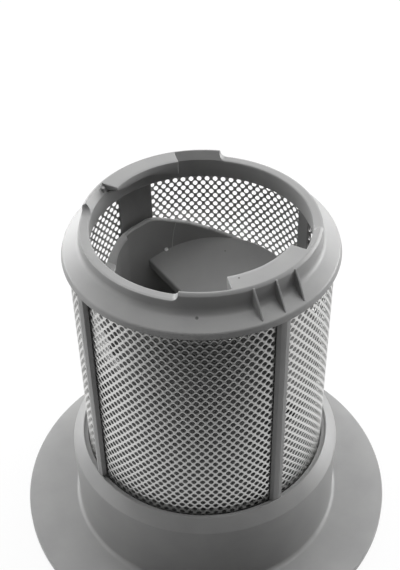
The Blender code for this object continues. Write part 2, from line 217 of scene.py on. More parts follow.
# Bearing and drop of the lip, first where the wall is thin and then where it is thick
LIP_THIN = ((36.0, 62.0), (60.0, 56.0), (90.0, 48.0), (120.0, 41.0), (142.0, 36.7), (153.9, 34.9),
            (164.8, 33.0), (175.3, 30.8), (185.6, 28.4), (195.0, 26.5), (206.8, 24.0),
            (214.4, 24.6), (219.0, 25.0), (223.2, 25.7))
LIP_THICK = ((224.0, 25.9), (226.9, 26.7), (229.5, 27.8), (231.7, 29.0), (234.2, 30.4),
             (236.0, 32.0), (240.0, 32.3), (260.0, 32.6), (290.0, 33.0), (319.5, 33.0))
# Bearing and radius of the thick part's inside
THICK_INSIDE = ((224.0, 32.95), (231.8, 32.9), (234.2, 32.5), (236.0, 32.1), (240.0, 31.0),
                (300.0, 31.0), (308.0, 32.9), (319.5, 32.9))
# The lip is painted paler than the wall below it, as painted highlight where light catches its top,
# from this bearing on and down to this depth
LIP_FROM = 176.0
LIP_DEPTH = 0.45
LIP_SKIN = 0.03
# Faint weld line down the inside of the insert: bearing and drop
WELD_LINE = ((193.4, 26.9), (195.0, 30.5), (195.8, 34.0), (196.2, 37.6))
WELD_WIDTH = 0.4
WELD_HEIGHT = 0.1

# Plastics: grey and roughness, and how far cloudiness and gloss wander from them
FRAME_GREY = 0.25
FRAME_ROUGHNESS = 0.42
CUP_GREY = 0.25
CUP_ROUGHNESS = 0.5
# Paler grey of the lip: painted highlight where light catches its top
LIP_HIGHLIGHT_GREY = 0.42
LIP_ROUGHNESS = 0.4
CLOUD_SCALE = 90.0
CLOUD_DETAIL = 5.0
CLOUD_DARK = (0.93, 0.93, 0.93)
CLOUD_PALE = (1.07, 1.07, 1.06)
CLOUD_DARK_AT = 0.3
CLOUD_PALE_AT = 0.7
GLOSS_WANDER = 0.06
GRAIN_SCALE = 2600.0
GRAIN_DETAIL = 3.0
GRAIN_STRENGTH = 0.12
GRAIN_DEPTH = 0.08
# Small marks: place, radius and grey
FRAME_MARKS = (((9.5, -27.6, 115.0), 0.3, 0.02), ((-1.5, -35.4, 108.4), 0.5, 0.06))
CUP_MARKS = (((7.6, 28.9, 79.3), 0.28, 0.12), ((-11.4, 32.2, 77.9), 0.75, 0.95))
# Share of a mark's radius within which it has its full grey
MARK_CORE = 0.7

# Brushed steel
STEEL_DARK = (0.54, 0.54, 0.53)
STEEL_PALE = (0.72, 0.72, 0.71)
STEEL_ROUGHNESS = (0.24, 0.36)
BRUSH_SCALE = 3000.0
BRUSH_DETAIL = 4.0
BRUSH_STRETCH = (1.0, 1.0, 0.06)
BRUSH_STRENGTH = 0.08
BRUSH_DEPTH = 0.05

# Camera, fitted to the photograph
CAMERA_DISTANCE = 286.077
CAMERA_RISE = 36.28
CAMERA_YAW = 0.118
CAMERA_PITCH = -3.896
CAMERA_ROLL = 1.086
CAMERA_LENS = 64.986
CAMERA_SENSOR = 36.0
CAMERA_NEAREST = 10.0

# Soft lights: name, place and size across and up in metres, and power in watts
LIGHTS = (
    ("left_light", (-0.9, 0.1, 0.3), (0.9, 0.8), 4.0),
    ("right_light", (0.95, 0.35, 0.3), (0.6, 0.5), 6.8),
    ("back_left_light", (-0.7, 0.8, 0.25), (0.8, 0.6), 8.0),
    ("back_right_light", (0.7, 0.8, 0.25), (0.8, 0.6), 4.0),
    ("front_left_light", (-0.85, -0.3, 0.25), (0.5, 0.5), 1.0),
    ("top_light", (0.0, 0.1, 1.1), (0.9, 0.9), 5.5),
    ("top_right_light", (0.6, 0.0, 0.95), (0.6, 0.6), 2.4),
    ("top_front_light", (0.0, -0.4, 1.0), (0.6, 0.6), 0.8),
)
# Height on the axis that the lights face
LIGHT_AIM = 70.0
WHITE = (1.0, 1.0, 1.0, 1.0)
# Light of the background, full behind the object and none in front of it
WORLD_LIGHT = 1.8
FLOOR_HALF_SIDE = 3000.0
FLOOR_ROUGHNESS = 0.9
# Glossy surfaces see the floor go from dark to white between these places along Y
FLOOR_GLOSS_FROM = -140.0
FLOOR_GLOSS_TO = -45.0
# The floor right under the object stays dark to them, out to these radii
FLOOR_DARK_TO = 45.0
FLOOR_CLEAR_FROM = 60.0
# Grey of the floor for the light it throws back, and where the camera sees it
FLOOR_SHADE = 0.35
FLOOR_SHADE_SEEN = 0.8
# Share of plain white in the floor that the camera sees; the rest takes the shadow
FLOOR_WHITE = 0.88


def height(drop):
    return TOTAL_HEIGHT - drop


def on_circle(radius, bearing, z):
    turn = math.radians(bearing)
    return (radius * math.sin(turn) * MM, -radius * math.cos(turn) * MM, z * MM)


# Point out along a bearing and sideways across it
def turned_point(across, out, bearing, z):
    turn = math.radians(bearing)
    x = out * math.sin(turn) + across * math.cos(turn)
    y = -out * math.cos(turn) + across * math.sin(turn)
    return (x * MM, y * MM, z * MM)


def link(mesh, name):
    obj = bpy.data.objects.new(name, mesh)
    bpy.context.scene.collection.objects.link(obj)
    return obj


def shade(obj, angle=SHARP_ANGLE):
    mesh = obj.data
    for face in mesh.polygons:
        face.use_smooth = True
    mesh.set_sharp_from_angle(angle=math.radians(angle))


def round_edges(obj, width, segments):
    bevel = obj.modifiers.new("Edges", "BEVEL")
    bevel.width = width * MM
    bevel.segments = segments
    shade(obj)


# Solid lofted through rows of points, either closed on itself or with a face at each end
def loft(name, outlines, full_turn=False):
    build = bmesh.new()
    rows = [[build.verts.new(point) for point in outline] for outline in outlines]
    count = len(rows[0])
    pairs = list(zip(rows, rows[1:]))
    if full_turn:
        pairs.append((rows[-1], rows[0]))
    else:
        build.faces.new(rows[0])
        build.faces.new(rows[-1])
    for near, far in pairs:
        for i in range(count):
            j = (i + 1) % count
            build.faces.new((near[i], near[j], far[j], far[i]))
    bmesh.ops.remove_doubles(build, verts=build.verts, dist=SAME_POINT * MM)
    bmesh.ops.recalc_face_normals(build, faces=build.faces)
    mesh = bpy.data.meshes.new(name)
    build.to_mesh(mesh)
    build.free()
    return link(mesh, name)


# Ring, or part of one, lofted through outlines of radius and height at given bearings
def around(name, stations, full_turn=True):
    outlines = []
    for bearing, outline in stations:
        outlines.append([on_circle(radius, bearing, z) for radius, z in outline])
    ring = loft(name, outlines, full_turn)
    shade(ring)
    return ring


def arc(centre, radius, start, end, count):
    points = []
    for i in range(count + 1):
        turn = math.radians(start + (end - start) * i / count)
        points.append((centre[0] + radius * math.cos(turn), centre[1] + radius * math.sin(turn)))
    return points


def steps_between(start, end, step):
    count = max(1, round((end - start) / step))
    return [start + (end - start) * i / count for i in range(count + 1)]


# Value at a bearing on straight lines through pairs of bearing and value
def read_off(pairs, bearing):
    for (near, first), (far, last) in zip(pairs, pairs[1:]):
        if bearing <= far:
            return first + (last - first) * max(bearing - near, 0.0) / (far - near)
    return pairs[-1][1]


# Smooth curve through points of bearing and drop
def curve_through(points, bearing):
    slopes = []
    for i in range(len(points)):
        low = max(i - 1, 0)
        high = min(i + 1, len(points) - 1)
        slopes.append((points[high][1] - points[low][1]) / (points[high][0] - points[low][0]))
    for i in range(len(points) - 1):
        x0, y0 = points[i]
        x1, y1 = points[i + 1]
        if bearing <= x1 or i == len(points) - 2:
            span = x1 - x0
            t = min(max((bearing - x0) / span, 0.0), 1.0)
            first = (2 * t ** 3 - 3 * t ** 2 + 1) * y0 + (t ** 3 - 2 * t ** 2 + t) * span * slopes[i]
            last = (3 * t ** 2 - 2 * t ** 3) * y1 + (t ** 3 - t ** 2) * span * slopes[i + 1]
            return first + last


# Outside of the neck, the skirt and its underside, as radius and drop
def neck_outside():
    points = [(RIM_FLAT_INNER, 0.0), *RIM_OUTER_EDGE, (NECK_RADIUS, OUTER_WALL_DROP)]
    fillet_centre = (NECK_RADIUS + FILLET_RADIUS, NECK_DROP)
    points += arc(fillet_centre, FILLET_RADIUS, 180.0, 90.0 + SKIRT_SLOPE, 8)
    points += arc(CREST_CENTRE, CREST_ROUNDING, -90.0 + SKIRT_SLOPE, -BAND_LEAN, 6)
    band_foot = (SKIRT_RADIUS - SKIRT_EDGE, SKIRT_DROP - SKIRT_EDGE)
    points += arc(band_foot, SKIRT_EDGE, -BAND_LEAN, 90.0, 4)
    points += [
        (GROOVE_OUTER_RADIUS, SKIRT_DROP),
        (GROOVE_OUTER_RADIUS, GROOVE_TOP_DROP),
        (GROOVE_INNER_RADIUS, GROOVE_TOP_DROP),
        (GROOVE_INNER_RADIUS, LIP_DROP),
    ]
    lip_foot = (LIP_INNER_RADIUS + SKIRT_EDGE, LIP_DROP - SKIRT_EDGE)
    points += arc(lip_foot, SKIRT_EDGE, 90.0, 180.0, 3)
    points += UNDERSIDE
    neck_foot = (NECK_FOOT_RADIUS + NECK_FOOT_ROUNDING, NECK_FOOT_DROP)
    points += arc(neck_foot, NECK_FOOT_ROUNDING, 90.0, 180.0, 4)
    return points


# Inside of the neck wall and the slope inside the rim, up to the flat top
def slope_path():
    points = [(NECK_INNER_RADIUS, drop) for drop in INNER_WALL_DROPS]
    run = RIM_FLAT_INNER - NECK_INNER_RADIUS
    for i in range(SLOPE_STEPS):
        share = i / SLOPE_STEPS
        points.append((NECK_INNER_RADIUS + run * share, RIM_SLOPE_DROP * (1.0 - share)))
    return points


# The same stretch where a tab stands on it, shrunk by inset at the tab's rounded ends
def tab_path(inset, base):
    inner = TAB_INNER_RADIUS
    edge = TAB_EDGE
    middle = TAB_EDGE * ARC_MIDDLE
    root = [(NECK_INNER_RADIUS - inward, base + below) for inward, below in TAB_ROOT]
    path = root + [
        (TAB_UNDERSIDE_RADIUS, base), (inner + edge, base), (inner + middle, base - middle),
        (inner, base - edge), (inner, base / 2.0), (inner, edge),
        (inner + middle, middle), (inner + edge, 0.0),
    ]
    path += [(radius, 0.0) for radius in TAB_TOP_RADII]
    shrunk = path[:2]
    for radius, drop in path[2:]:
        shrunk.append((max(radius, inner + inset), min(max(drop, inset), base - inset)))
    return shrunk


# How far the low rim's rounded edges fall away from its flat top
def low_edge(radius):
    over = max(radius - (NECK_RADIUS - LOW_EDGE_ROUNDING),
               NECK_INNER_RADIUS + LOW_EDGE_ROUNDING - radius, 0.0)
    over = min(over, LOW_EDGE_ROUNDING)
    return LOW_EDGE_ROUNDING - math.sqrt(LOW_EDGE_ROUNDING ** 2 - over ** 2)


def neck_section(depth, inside=None):
    section = []
    for radius, drop in neck_outside() + (inside or slope_path()):
        cut = depth + low_edge(radius) if depth > 0.0 else 0.0
        section.append((radius, height(max(drop, cut))))
    return section


# Bearings past a high stretch's end with the depth of the rim there
def step_profile(run):
    profile = []
    for turn in CORNER_TURNS:
        angle = math.radians(turn)
        along = -STEP_CORNER * (1.0 - math.sin(angle))
        profile.append((along, STEP_CORNER * (1.0 - math.cos(angle))))
    start = RIM_STEP - STEP_RISE + HOLLOW_START
    for i in range(1, HOLLOW_STEPS + 1):
        angle = math.radians(90.0 * i / HOLLOW_STEPS)
        along = run * (1.0 - math.cos(angle))
        profile.append((along, start + (RIM_STEP - start) * math.sin(angle)))
    return [(math.degrees(along / NECK_RADIUS), depth) for along, depth in profile]


def tab_end(bearing, sign):
    thickness = read_off(TAB_RAMP, bearing)
    stations = [(bearing - sign * TAB_END_STEP, neck_section(0.0))]
    for turn in CORNER_TURNS:
        angle = math.radians(turn)
        along = math.degrees(TAB_EDGE * (1.0 - math.cos(angle)) / TAB_MIDDLE_RADIUS)
        inset = TAB_EDGE * (1.0 - math.sin(angle))
        section = neck_section(0.0, tab_path(inset, thickness))
        stations.append((bearing + sign * along, section))
    return stations


def even_stations(start, end, depth):
    bearings = steps_between(start, end, NECK_STATION_STEP)
    return [(bearing, neck_section(depth)) for bearing in bearings]


# Half of the neck, from the start of a high stretch to the end of the low one after it
def neck_half(shift):
    high_from = LOW_RIM_TO - HALF_TURN
    first_step = step_profile(STEP_RUN_TO)
    last_step = step_profile(STEP_RUN_FROM)
    stations = [(high_from - along, neck_section(depth)) for along, depth in reversed(first_step)]
    stations += even_stations(high_from + STEP_CLEARANCE, TAB_FROM - TAB_CLEARANCE, 0.0)
    stations += tab_end(TAB_FROM, 1.0)
    for bearing in steps_between(TAB_FROM + TAB_INNER_CLEARANCE, TAB_TO - TAB_INNER_CLEARANCE,
                                 NECK_STATION_STEP):
        stations.append((bearing, neck_section(0.0, tab_path(0.0, read_off(TAB_RAMP, bearing)))))
    stations += reversed(tab_end(TAB_TO, -1.0))
    stations += even_stations(TAB_TO + TAB_CLEARANCE, LOW_RIM_FROM - STEP_CLEARANCE, 0.0)
    stations += [(LOW_RIM_FROM + along, neck_section(depth)) for along, depth in last_step]
    low_from = LOW_RIM_FROM + last_step[-1][0] + HOLLOW_CLEARANCE
    low_to = LOW_RIM_TO - first_step[-1][0] - HOLLOW_CLEARANCE
    stations += even_stations(low_from, low_to, RIM_STEP)
    return [(bearing + shift, section) for bearing, section in stations]


def make_neck():
    return around("neck_and_skirt", neck_half(0.0) + neck_half(HALF_TURN))


# Collar, flange, bore and groove, as radius and height
def base_section():
    points = [(COLLAR_MOUTH_RADIUS, COLLAR_TOP)]
    points += arc(*MOUTH_INNER_ROUNDING, 180.0, 90.0, 3)
    points += arc(*MOUTH_OUTER_ROUNDING, 90.0, 45.0, 3)
    shoulder = (COLLAR_RADIUS - SHOULDER_ROUNDING, SHOULDER_HEIGHT)
    points += arc(shoulder, SHOULDER_ROUNDING, 45.0, 0.0, 5)
    points += [(COLLAR_RADIUS, COLLAR_MIDDLE)]
    fillet = (COLLAR_RADIUS + FLANGE_FILLET, FLANGE_THICKNESS + FLANGE_FILLET)
    points += arc(fillet, FLANGE_FILLET, 180.0, 270.0, 7)
    points += [(FLANGE_TOP_MIDDLE, FLANGE_THICKNESS)]
    edge = FLANGE_RADIUS - FLANGE_EDGE
    points += arc((edge, FLANGE_THICKNESS - FLANGE_EDGE), FLANGE_EDGE, 90.0, 0.0, 3)
    points += arc((edge, FLANGE_EDGE), FLANGE_EDGE, 0.0, -90.0, 3)
    points += [
        (FLANGE_FOOT_MIDDLE, 0.0),
        (LOWER_BORE_RADIUS, 0.0),
        (LOWER_BORE_RADIUS, CONE_BOTTOM),
        (BORE_RADIUS, CONE_TOP),
        (BORE_RADIUS, COLLAR_TOP - BORE_EDGE),
        (BORE_RADIUS + BORE_EDGE, COLLAR_TOP),
        (GROOVE_INNER_RADIUS, COLLAR_TOP),
        (GROOVE_INNER_RADIUS, COLLAR_TOP - BASE_GROOVE_DEPTH),
        (GROOVE_OUTER_RADIUS, COLLAR_TOP - BASE_GROOVE_DEPTH),
        (GROOVE_OUTER_RADIUS, COLLAR_TOP),
    ]
    return points


def make_base():
    section = base_section()
    bearings = steps_between(0.0, FULL_TURN, BASE_STATION_STEP)[:-1]
    return around("collar_and_flange", [(bearing, section) for bearing in bearings])


def make_outer_post(index, bearing):
    outlines = []
    for z in (COLLAR_TOP - POST_BITE, height(SKIRT_DROP - SKIRT_BITE)):
        outlines.append([turned_point(across, out, bearing, z) for across, out in POST_OUTLINE])
    post = loft("outer_post_%d" % (index + 1), outlines)
    shade(post, POST_SHARP_ANGLE)
    return post


def make_inner_post(index, bearing):
    width = SEAM_POST_WIDTH if index == SEAM_POST_INDEX else INNER_POST_WIDTH
    half = math.degrees(width / 2.0 / INNER_POST_INSIDE)
    edge = math.degrees(INNER_POST_EDGE / INNER_POST_INSIDE)
    even = half - INNER_POST_CLEARANCE
    bottom = COLLAR_TOP - POST_BITE
    top = height(LIP_DROP - POST_BITE)
    stations = []
    for place in [-half, edge - half, *steps_between(-even, even, INNER_POST_STEP),
                  half - edge, half]:
        inside = INNER_POST_INSIDE + (INNER_POST_EDGE if abs(place) == half else 0.0)
        stations.append((bearing + place, [
            (inside, bottom), (INNER_POST_OUTSIDE, bottom), (INNER_POST_OUTSIDE, top),
            (inside, top)]))
    return around("inner_post_%d" % (index + 1), stations, full_turn=False)


def make_stop():
    corners = ((-STOP_HALF_WIDTH, STOP_INSIDE), (STOP_HALF_WIDTH, STOP_INSIDE),
               (STOP_HALF_WIDTH, STOP_OUTSIDE), (-STOP_HALF_WIDTH, STOP_OUTSIDE))
    outlines = []
    for drop in (STOP_FOOT_DROP, STOP_TOP_DROP):
        outlines.append([turned_point(across, out, STOP_BEARING, height(drop))
                         for across, out in corners])
    stop = loft("tab_stop", outlines)
    round_edges(stop, STOP_EDGE, 3)
    return stop


# The side ribs stand off the axis, so each point of the outline is moved in to keep its radius
def make_rib(index):
    middle = (index - (RIB_COUNT - 1) / 2.0) * RIB_SPACING
    sides = []
    for across in (middle - RIB_THICKNESS / 2.0, middle + RIB_THICKNESS / 2.0):
        side = []
        for radius, drop in RIB_OUTLINE:
            out = math.sqrt(radius ** 2 - middle ** 2)
            side.append(turned_point(across, out, RIB_BEARING, height(drop)))
        sides.append(side)
    rib = loft("rib_%d" % (index + 1), sides)
    round_edges(rib, RIB_EDGE, 2)
    return rib


# Boundary of one six-sided cell of the hole lattice, with a point at each corner and side
def cell_boundary():
    half_across = SHEET_RADIUS * math.radians(FULL_TURN / HOLE_COLUMNS) / 2.0
    corner_up = (half_across ** 2 + ROW_STEP ** 2) / 2.0 / ROW_STEP
    side_up = ((half_across ** 2 + ROW_STEP ** 2) / 2.0 - half_across ** 2) / ROW_STEP
    corners = [(half_across, side_up), (0.0, corner_up), (-half_across, side_up),
               (-half_across, -side_up), (0.0, -corner_up), (half_across, -side_up)]
    points = []
    for i in range(len(corners)):
        x0, y0 = corners[i - 1]
        x1, y1 = corners[i]
        points.append(((x0 + x1) / 2.0, (y0 + y1) / 2.0))
        points.append((x1, y1))
    return points


# Edge of a hole, or a larger copy of it, with a point facing each of the boundary's
def cell_hole(boundary, scale):
    points = []
    for x, y in boundary:
        angle = math.atan2(y / HOLE_HALF_HEIGHT, x / HOLE_HALF_WIDTH)
        across = math.cos(angle)
        up = math.sin(angle)
        reach = (abs(across) ** HOLE_POWER + abs(up) ** HOLE_POWER) ** (-1.0 / HOLE_POWER)
        reach *= scale
        points.append((HOLE_HALF_WIDTH * reach * across, HOLE_HALF_HEIGHT * reach * up))
    return points


# Rings of a cell from the sheet's outside to its inside: outline, radius and least drop
def cell_rings():
    boundary = cell_boundary()
    dimple = cell_hole(boundary, DIMPLE_REACH)
    hole = cell_hole(boundary, 1.0)
    inside = SHEET_RADIUS - SHEET_THICKNESS
    return (
        (boundary, SHEET_RADIUS, SHEET_TOP_DROP),
        (dimple, SHEET_RADIUS, HOLE_TOP_DROP),
        (hole, SHEET_RADIUS - DIMPLE_DEPTH, HOLE_TOP_DROP),
        (hole, inside, HOLE_TOP_DROP),
        (boundary, inside, SHEET_TOP_DROP),
    )


# Bearing and drop of each hole in one quarter of the sheet
def hole_places(index):
    quarter = FULL_TURN / PANELS
    start = POST_BEARING + index * quarter
    places = []
    for row in range(HOLE_ROWS):
        for column in range(HOLE_COLUMNS):
            bearing = HOLE_BEARING + (column + (row % 2) / 2.0) * FULL_TURN / HOLE_COLUMNS
            if (bearing - start) % FULL_TURN < quarter:
                places.append((bearing, FIRST_ROW_DROP + ROW_STEP * row))
    return places


# One quarter of the rolled sheet; the quarters meet behind the posts
def make_panel(index):
    rings = cell_rings()
    sides = len(rings[0][0])
    points = []
    faces = []
    for bearing, middle in hole_places(index):
        first = len(points)
        for outline, radius, top in rings:
            for across, up in outline:
                turn = bearing + math.degrees(across / SHEET_RADIUS)
                points.append(on_circle(radius, turn, height(max(middle - up, top))))
        for ring in range(len(rings) - 1):
            for i in range(sides):
                j = (i + 1) % sides
                near = first + ring * sides
                far = near + sides
                faces.append((near + i, near + j, far + j, far + i))
    mesh = bpy.data.meshes.new("sheet_panel_%d" % (index + 1))
    mesh.from_pydata(points, [], faces)
    build = bmesh.new()
    build.from_mesh(mesh)
    bmesh.ops.remove_doubles(build, verts=build.verts, dist=SAME_POINT * MM)
    open_edges = [edge for edge in build.edges if edge.is_boundary]
    bmesh.ops.bridge_loops(build, edges=open_edges)
    bmesh.ops.recalc_face_normals(build, faces=build.faces)
    build.to_mesh(mesh)
    build.free()
    panel = link(mesh, mesh.name)
    shade(panel, SHEET_SHARP_ANGLE)
    return panel


# Rounded top of the insert's wall
def cup_top(drop, inner):
    top = height(drop)
    points = arc((CUP_RADIUS - CUP_EDGE, top - CUP_EDGE), CUP_EDGE, 0.0, 90.0, 4)
    points += arc((inner + CUP_INNER_EDGE, top - CUP_INNER_EDGE), CUP_INNER_EDGE, 90.0, 180.0, 4)
    return points


def cup_section(drop, inner):
    foot = CUP_FOOT + CUP_RIM_HEIGHT
    points = [(CUP_RIM_RADIUS, CUP_FOOT), (CUP_RIM_RADIUS, foot), (CUP_RADIUS, foot)]
    points += cup_top(drop, inner)
    points += [(inner, height(max(CUP_MIDDLE_DROP, drop + CUP_MIDDLE_BELOW_LIP)))]
    points += [(inner, CUP_FOOT)]
    return points


# Bearing, drop and inside radius along the climbing lip, from a bearing on
def lip_places(start):
    places = []
    for bearing in steps_between(start, LIP_THIN[-1][0], CUP_STATION_STEP):
        places.append((bearing, curve_through(LIP_THIN, bearing), CUP_THIN_INSIDE))
    for bearing in steps_between(LIP_THICK[0][0], LIP_THICK[-1][0], CUP_STATION_STEP):
        inner = read_off(THICK_INSIDE, bearing)
        places.append((bearing, curve_through(LIP_THICK, bearing), inner))
    return places


def make_cup_wall():
    places = lip_places(LIP_THIN[0][0])
    for bearing in steps_between(FRONT_WALL_FROM, FRONT_WALL_TO, CUP_STATION_STEP):
        places.append((bearing, FRONT_WALL_DROP, CUP_THIN_INSIDE))
    return around("cup_wall", [(bearing, cup_section(drop, inner))
                               for bearing, drop, inner in places])


# Skin on the climbing lip, in a paler grey that is painted highlight
def make_cup_lip():
    stations = []
    for bearing, drop, inner in lip_places(LIP_FROM):
        low = height(drop + LIP_DEPTH)
        section = cup_top(drop - LIP_SKIN, inner)
        section += [(inner + LIP_DEPTH, low), (CUP_RADIUS - LIP_DEPTH, low)]
        stations.append((bearing, section))
    return around("cup_lip", stations, full_turn=False)


# A low ridge down the inside of the insert's wall
def make_weld_line():
    half = math.degrees(WELD_WIDTH / 2.0 / CUP_THIN_INSIDE)
    foot = CUP_THIN_INSIDE + WELD_HEIGHT
    crest = CUP_THIN_INSIDE - WELD_HEIGHT
    outline = ((-half, foot), (-half / 2.0, crest), (half / 2.0, crest), (half, foot))
    rows = []
    for bearing, drop in WELD_LINE:
        rows.append([on_circle(radius, bearing + aside, height(drop))
                     for aside, radius in outline])
    line = loft("weld_line", rows)
    shade(line, WELD_SHARP_ANGLE)
    return line


# Turns at which the straight step of the floor meets a circle
def step_ends(radius):
    (x0, y0), (x1, y1) = FLOOR_STEP
    length = math.hypot(x1 - x0, y1 - y0)
    along_x = (x1 - x0) / length
    along_y = (y1 - y0) / length
    middle = x0 * along_x + y0 * along_y
    foot_x = x0 - middle * along_x
    foot_y = y0 - middle * along_y
    half = math.sqrt(radius ** 2 - foot_x ** 2 - foot_y ** 2)
    near = math.atan2(foot_y - half * along_y, foot_x - half * along_x)
    far = math.atan2(foot_y + half * along_y, foot_x + half * along_x)
    return far, near


# Sloped floor, cut off straight at the step
def make_cup_floor():
    radius = CUP_THIN_INSIDE + FLOOR_BITE
    start, end = step_ends(radius)
    if end < start:
        end += math.tau
    top = []
    bottom = []
    for i in range(FLOOR_SEGMENTS + 1):
        turn = start + (end - start) * i / FLOOR_SEGMENTS
        x = radius * math.cos(turn)
        y = radius * math.sin(turn)
        z = height(FLOOR_DROP) + FLOOR_RISE_X * x + FLOOR_RISE_Y * y
        top.append((x * MM, y * MM, z * MM))
        bottom.append((x * MM, y * MM, (z - FLOOR_THICKNESS) * MM))
    floor = loft("cup_floor", (top, bottom))
    round_edges(floor, FLOOR_EDGE, 3)
    return floor


def new_material(name):
    material = bpy.data.materials.new(name)
    material.use_nodes = True
    tree = material.node_tree
    return material, tree, tree.nodes["Principled BSDF"]


def add_node(tree, kind, **inputs):
    node = tree.nodes.new(kind)
    for name, value in inputs.items():
        node.inputs[name].default_value = value
    return node


def math_node(tree, operation, first, second):
    node = tree.nodes.new("ShaderNodeMath")
    node.operation = operation
    for place, value in enumerate((first, second)):
        if isinstance(value, float):
            node.inputs[place].default_value = value
        else:
            tree.links.new(value, node.inputs[place])
    return node.outputs["Value"]


def map_range(tree, value, source, target):
    node = tree.nodes.new("ShaderNodeMapRange")
    for name, limit in zip(("From Min", "From Max", "To Min", "To Max"), (*source, *target)):
        node.inputs[name].default_value = limit
    tree.links.new(value, node.inputs["Value"])
    return node.outputs["Result"]


def noise(tree, vector, scale, detail):
    node = add_node(tree, "ShaderNodeTexNoise", Scale=scale, Detail=detail)
    tree.links.new(vector, node.inputs["Vector"])
    return node.outputs["Fac"]


# Colour that goes from one to another as a value goes from the first place to the second
def colour_ramp(tree, value, places, colours):
    node = tree.nodes.new("ShaderNodeValToRGB")
    for element, place, colour in zip(node.color_ramp.elements, places, colours):
        element.position = place
        element.color = (*colour, 1.0)
    tree.links.new(value, node.inputs["Fac"])
    return node.outputs["Color"]


def add_bump(tree, shader, value, strength, depth):
    bump = add_node(tree, "ShaderNodeBump", Strength=strength, Distance=depth * MM)
    tree.links.new(value, bump.inputs["Height"])
    tree.links.new(bump.outputs["Normal"], shader.inputs["Normal"])


# Turns the colour to the mark's grey close to its place
def add_mark(tree, place, colour, mark):
    where, radius, grey = mark
    away = tree.nodes.new("ShaderNodeVectorMath")
    away.operation = "DISTANCE"
    tree.links.new(place, away.inputs[0])
    away.inputs[1].default_value = [value * MM for value in where]
    edge = (radius * MARK_CORE * MM, radius * MM)
    share = map_range(tree, away.outputs["Value"], edge, (1.0, 0.0))
    mix = tree.nodes.new("ShaderNodeMixRGB")
    tree.links.new(share, mix.inputs["Fac"])
    tree.links.new(colour, mix.inputs["Color1"])
    mix.inputs["Color2"].default_value = (grey, grey, grey, 1.0)
    return mix.outputs["Color"]


# Moulded plastic: faint cloudy shade, fine grain and a soft gloss that wanders a little
def plastic(name, grey, roughness, marks=()):
    material, tree, shader = new_material(name)
    place = add_node(tree, "ShaderNodeTexCoord").outputs["Object"]
    cloud = noise(tree, place, CLOUD_SCALE, CLOUD_DETAIL)
    dark = [grey * share for share in CLOUD_DARK]
    pale = [grey * share for share in CLOUD_PALE]
    colour = colour_ramp(tree, cloud, (CLOUD_DARK_AT, CLOUD_PALE_AT), (dark, pale))
    for mark in marks:
        colour = add_mark(tree, place, colour, mark)
    tree.links.new(colour, shader.inputs["Base Color"])
    limits = (roughness - GLOSS_WANDER, roughness + GLOSS_WANDER)
    gloss = map_range(tree, cloud, (0.0, 1.0), limits)
    tree.links.new(gloss, shader.inputs["Roughness"])
    grain = noise(tree, place, GRAIN_SCALE, GRAIN_DETAIL)
    add_bump(tree, shader, grain, GRAIN_STRENGTH, GRAIN_DEPTH)
    return material


# Rolled stainless sheet: fine upright brushing in shade, gloss and bump
def steel(name):
    material, tree, shader = new_material(name)
    shader.inputs["Metallic"].default_value = 1.0
    place = add_node(tree, "ShaderNodeTexCoord").outputs["Object"]
    stretch = add_node(tree, "ShaderNodeMapping", Scale=BRUSH_STRETCH)
    tree.links.new(place, stretch.inputs["Vector"])
    brushed = noise(tree, stretch.outputs["Vector"], BRUSH_SCALE, BRUSH_DETAIL)
    colour = colour_ramp(tree, brushed, (0.0, 1.0), (STEEL_DARK, STEEL_PALE))
    tree.links.new(colour, shader.inputs["Base Color"])
    gloss = map_range(tree, brushed, (0.0, 1.0), STEEL_ROUGHNESS)
    tree.links.new(gloss, shader.inputs["Roughness"])
    add_bump(tree, shader, brushed, BRUSH_STRENGTH, BRUSH_DEPTH)
    return material


def finish_piece(piece, node, material):
    piece.data.materials.append(material)
    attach(piece, "root")
    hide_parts(node)


def make_camera():
    rise = math.radians(CAMERA_RISE)
    place = Vector((0.0, -math.cos(rise), math.sin(rise))) * CAMERA_DISTANCE
    ahead = Vector((0.0, math.cos(rise), -math.sin(rise)))
    right = Vector((1.0, 0.0, 0.0))
    up = right.cross(ahead)
    yaw = Matrix.Rotation(math.radians(CAMERA_YAW), 3, up)
    ahead = yaw @ ahead
    right = yaw @ right
    pitch = Matrix.Rotation(math.radians(CAMERA_PITCH), 3, right)
    ahead = pitch @ ahead
    up = pitch @ up
    roll = Matrix.Rotation(math.radians(CAMERA_ROLL), 3, ahead)
    right = roll @ right
    up = roll @ up
    data = bpy.data.cameras.new("camera")
    data.lens = CAMERA_LENS
    data.sensor_width = CAMERA_SENSOR
    data.clip_start = CAMERA_NEAREST * MM
    camera = link(data, "camera")
    turn = Matrix((right, up, -ahead)).transposed().to_4x4()
    where = (place + Vector((0.0, 0.0, TOTAL_HEIGHT))) * MM
    camera.matrix_world = Matrix.Translation(where) @ turn
    bpy.context.scene.camera = camera


def make_lights():
    for name, where, size, power in LIGHTS:
        data = bpy.data.lights.new(name, "AREA")
        data.shape = "RECTANGLE"
        data.size, data.size_y = size
        data.energy = power
        light = link(data, name)
        light.location = where
        ahead = Vector((0.0, 0.0, LIGHT_AIM * MM)) - Vector(where)
        light.rotation_euler = ahead.to_track_quat("-Z", "Y").to_euler()


